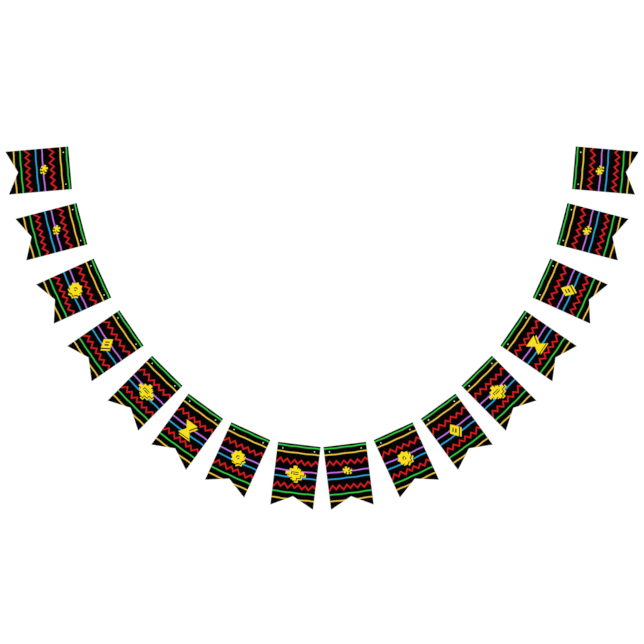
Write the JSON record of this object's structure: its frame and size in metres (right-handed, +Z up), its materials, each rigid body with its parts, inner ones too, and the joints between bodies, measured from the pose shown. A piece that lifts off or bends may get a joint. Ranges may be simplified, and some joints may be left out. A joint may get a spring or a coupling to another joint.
{
  "type": "swallowtail bunting banner",
  "caption": "Swallowtail card flags printed with wavy lines, zigzags and yellow ornaments, punched for a string and laid out in a U.",
  "frame": {"origin": "under the middle of the layout, in the plane of the flags' undersides", "axes": "+X to the right along the layout, +Y up the layout towards its open end, +Z up out of the printed faces"},
  "size_m": [1.783, 1.0228, 0.0004],
  "materials": {
    "card": "matt black print on a white card",
    "green": "matt printing ink",
    "gold": "matt printing ink",
    "red": "matt printing ink",
    "purple": "matt printing ink",
    "blue": "matt printing ink",
    "yellow": "matt printing ink"
  },
  "bodies": {
    "root": {"flag_01": "card", "flag_02": "card", "flag_03": "card", "flag_04": "card", "flag_05": "card", "flag_06": "card", "flag_07": "card", "flag_08": "card", "flag_09": "card", "flag_10": "card", "flag_11": "card", "flag_12": "card", "flag_13": "card", "flag_14": "card", "flag_15": "card", "flag_16": "card", "print_green": "green", "print_gold": "gold", "print_purple": "purple", "print_blue": "blue", "print_red": "red", "print_yellow": "yellow"}
  },
  "joints": []
}
